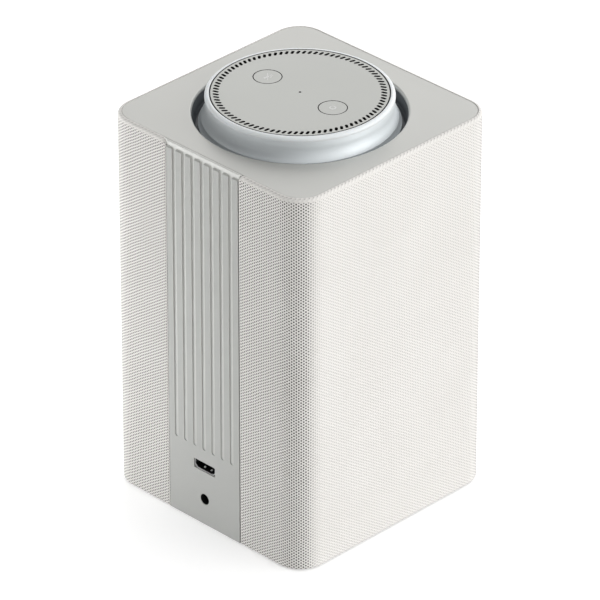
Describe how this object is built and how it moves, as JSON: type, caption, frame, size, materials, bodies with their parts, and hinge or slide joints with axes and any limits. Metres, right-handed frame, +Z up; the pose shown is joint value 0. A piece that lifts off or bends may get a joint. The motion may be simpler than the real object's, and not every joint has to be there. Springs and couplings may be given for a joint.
{
  "type": "smart speaker",
  "caption": "Upright square smart speaker: knitted cloth sides, ribbed metal rear panel, metal top plate and a turning volume wheel around a slotted disc with push buttons.",
  "frame": {"origin": "centre of the footprint, on the surface the foot stands on", "axes": "+Z up, front face towards -Y, ribbed rear panel towards +Y, buttons in line along X"},
  "size_m": [0.141, 0.141, 0.231],
  "materials": {
    "cloth": "light grey-white knitted acoustic cloth",
    "plate": "satin silver-grey plate",
    "panel": "satin silver-grey anodised rear panel",
    "disc": "satin silver-grey painted disc and buttons",
    "wheel": "glossy silver-blue plated wheel",
    "light_ring": "frosted white translucent rim",
    "dark_plastic": "charcoal moulded plastic",
    "rubber": "soft black rubber",
    "foam": "black acoustic foam",
    "silicone": "grey silicone",
    "board": "green solder-masked circuit board",
    "chip": "black moulded component bodies",
    "led": "white light emitter bodies",
    "steel": "zinc-plated steel",
    "basket": "black painted driver frames",
    "ferrite": "dark ferrite",
    "cone": "dark pulp cone and caps",
    "textile": "resin-treated suspension cloth and silk domes",
    "ribbon": "white flat ribbon cable"
  },
  "bodies": {
    "cabinet": {"action_switch_pad": "silicone", "antennas": "board", "base_plate": "dark_plastic", "capacitors": "chip", "chassis_screws": "steel", "dc_jack": "dark_plastic", "disc_carrier": "dark_plastic", "driver_screws": "steel", "enclosure": "dark_plastic", "enclosure_lid": "dark_plastic", "encoder_sensor": "dark_plastic", "fabric_sleeve": "cloth", "flat_cable": "ribbon", "glide_ring": "dark_plastic", "grille_frame": "dark_plastic", "hdmi_socket": "steel", "hdmi_tongue": "dark_plastic", "lid_seal": "rubber", "light_guide": "light_ring", "main_board": "board", "mic_disc": "disc", "mic_gasket": "foam", "microphones": "chip", "mute_switch_pad": "silicone", "processor": "chip", "radiator_left_frame": "basket", "radiator_left_surround": "rubber", "radiator_right_frame": "basket", "radiator_right_surround": "rubber", "rear_panel": "panel", "ring_leds": "led", "rotary_base": "dark_plastic", "rubber_foot": "rubber", "shield_can": "steel", "thermal_pad": "silicone", "top_board": "board", "top_chassis": "dark_plastic", "top_plate": "plate", "tweeter_left_face": "basket", "tweeter_left_motor": "steel", "tweeter_right_face": "basket", "tweeter_right_motor": "steel", "woofer_basket": "basket", "woofer_front_plate": "steel", "woofer_gasket": "rubber", "woofer_magnet": "ferrite", "woofer_spider": "textile", "woofer_surround": "rubber", "woofer_yoke": "steel"},
    "volume_wheel": {"volume_ring": "wheel", "light_ring": "light_ring", "encoder_comb": "dark_plastic"},
    "mute_key": {"mute_button": "disc"},
    "action_key": {"action_button": "disc"},
    "woofer_diaphragm": {"woofer_cone": "cone", "woofer_dust_cap": "cone"},
    "tweeter_left_diaphragm": {"tweeter_left_dome": "textile"},
    "tweeter_right_diaphragm": {"tweeter_right_dome": "textile"},
    "radiator_left_diaphragm": {"radiator_left_plate": "cone"},
    "radiator_right_diaphragm": {"radiator_right_plate": "cone"}
  },
  "joints": [
    {"name": "volume_turn", "type": "hinge", "parent": "cabinet", "child": "volume_wheel", "pos_m": [0, 0, 0.2154], "axis": [0, 0, 1], "continuous": true},
    {"name": "mute_press", "type": "slide", "parent": "cabinet", "child": "mute_key", "axis": [0, 0, -1], "range_m": [0, 0.0005], "stiffness_N_per_m": 1500, "deforming": ["mute_switch_pad"]},
    {"name": "action_press", "type": "slide", "parent": "cabinet", "child": "action_key", "axis": [0, 0, -1], "range_m": [0, 0.0005], "stiffness_N_per_m": 1500, "deforming": ["action_switch_pad"]},
    {"name": "woofer_stroke", "type": "slide", "parent": "cabinet", "child": "woofer_diaphragm", "axis": [0, -1, 0], "range_m": [-0.004, 0.004], "stiffness_N_per_m": 1800},
    {"name": "tweeter_left_stroke", "type": "slide", "parent": "cabinet", "child": "tweeter_left_diaphragm", "axis": [0, -1, 0], "range_m": [-0.0003, 0.0003], "stiffness_N_per_m": 4000},
    {"name": "tweeter_right_stroke", "type": "slide", "parent": "cabinet", "child": "tweeter_right_diaphragm", "axis": [0, -1, 0], "range_m": [-0.0003, 0.0003], "stiffness_N_per_m": 4000},
    {"name": "radiator_left_stroke", "type": "slide", "parent": "cabinet", "child": "radiator_left_diaphragm", "axis": [1, 0, 0], "range_m": [-0.005, 0.005], "stiffness_N_per_m": 1500},
    {"name": "radiator_right_stroke", "type": "slide", "parent": "cabinet", "child": "radiator_right_diaphragm", "axis": [-1, 0, 0], "range_m": [-0.005, 0.005], "stiffness_N_per_m": 1500}
  ]
}
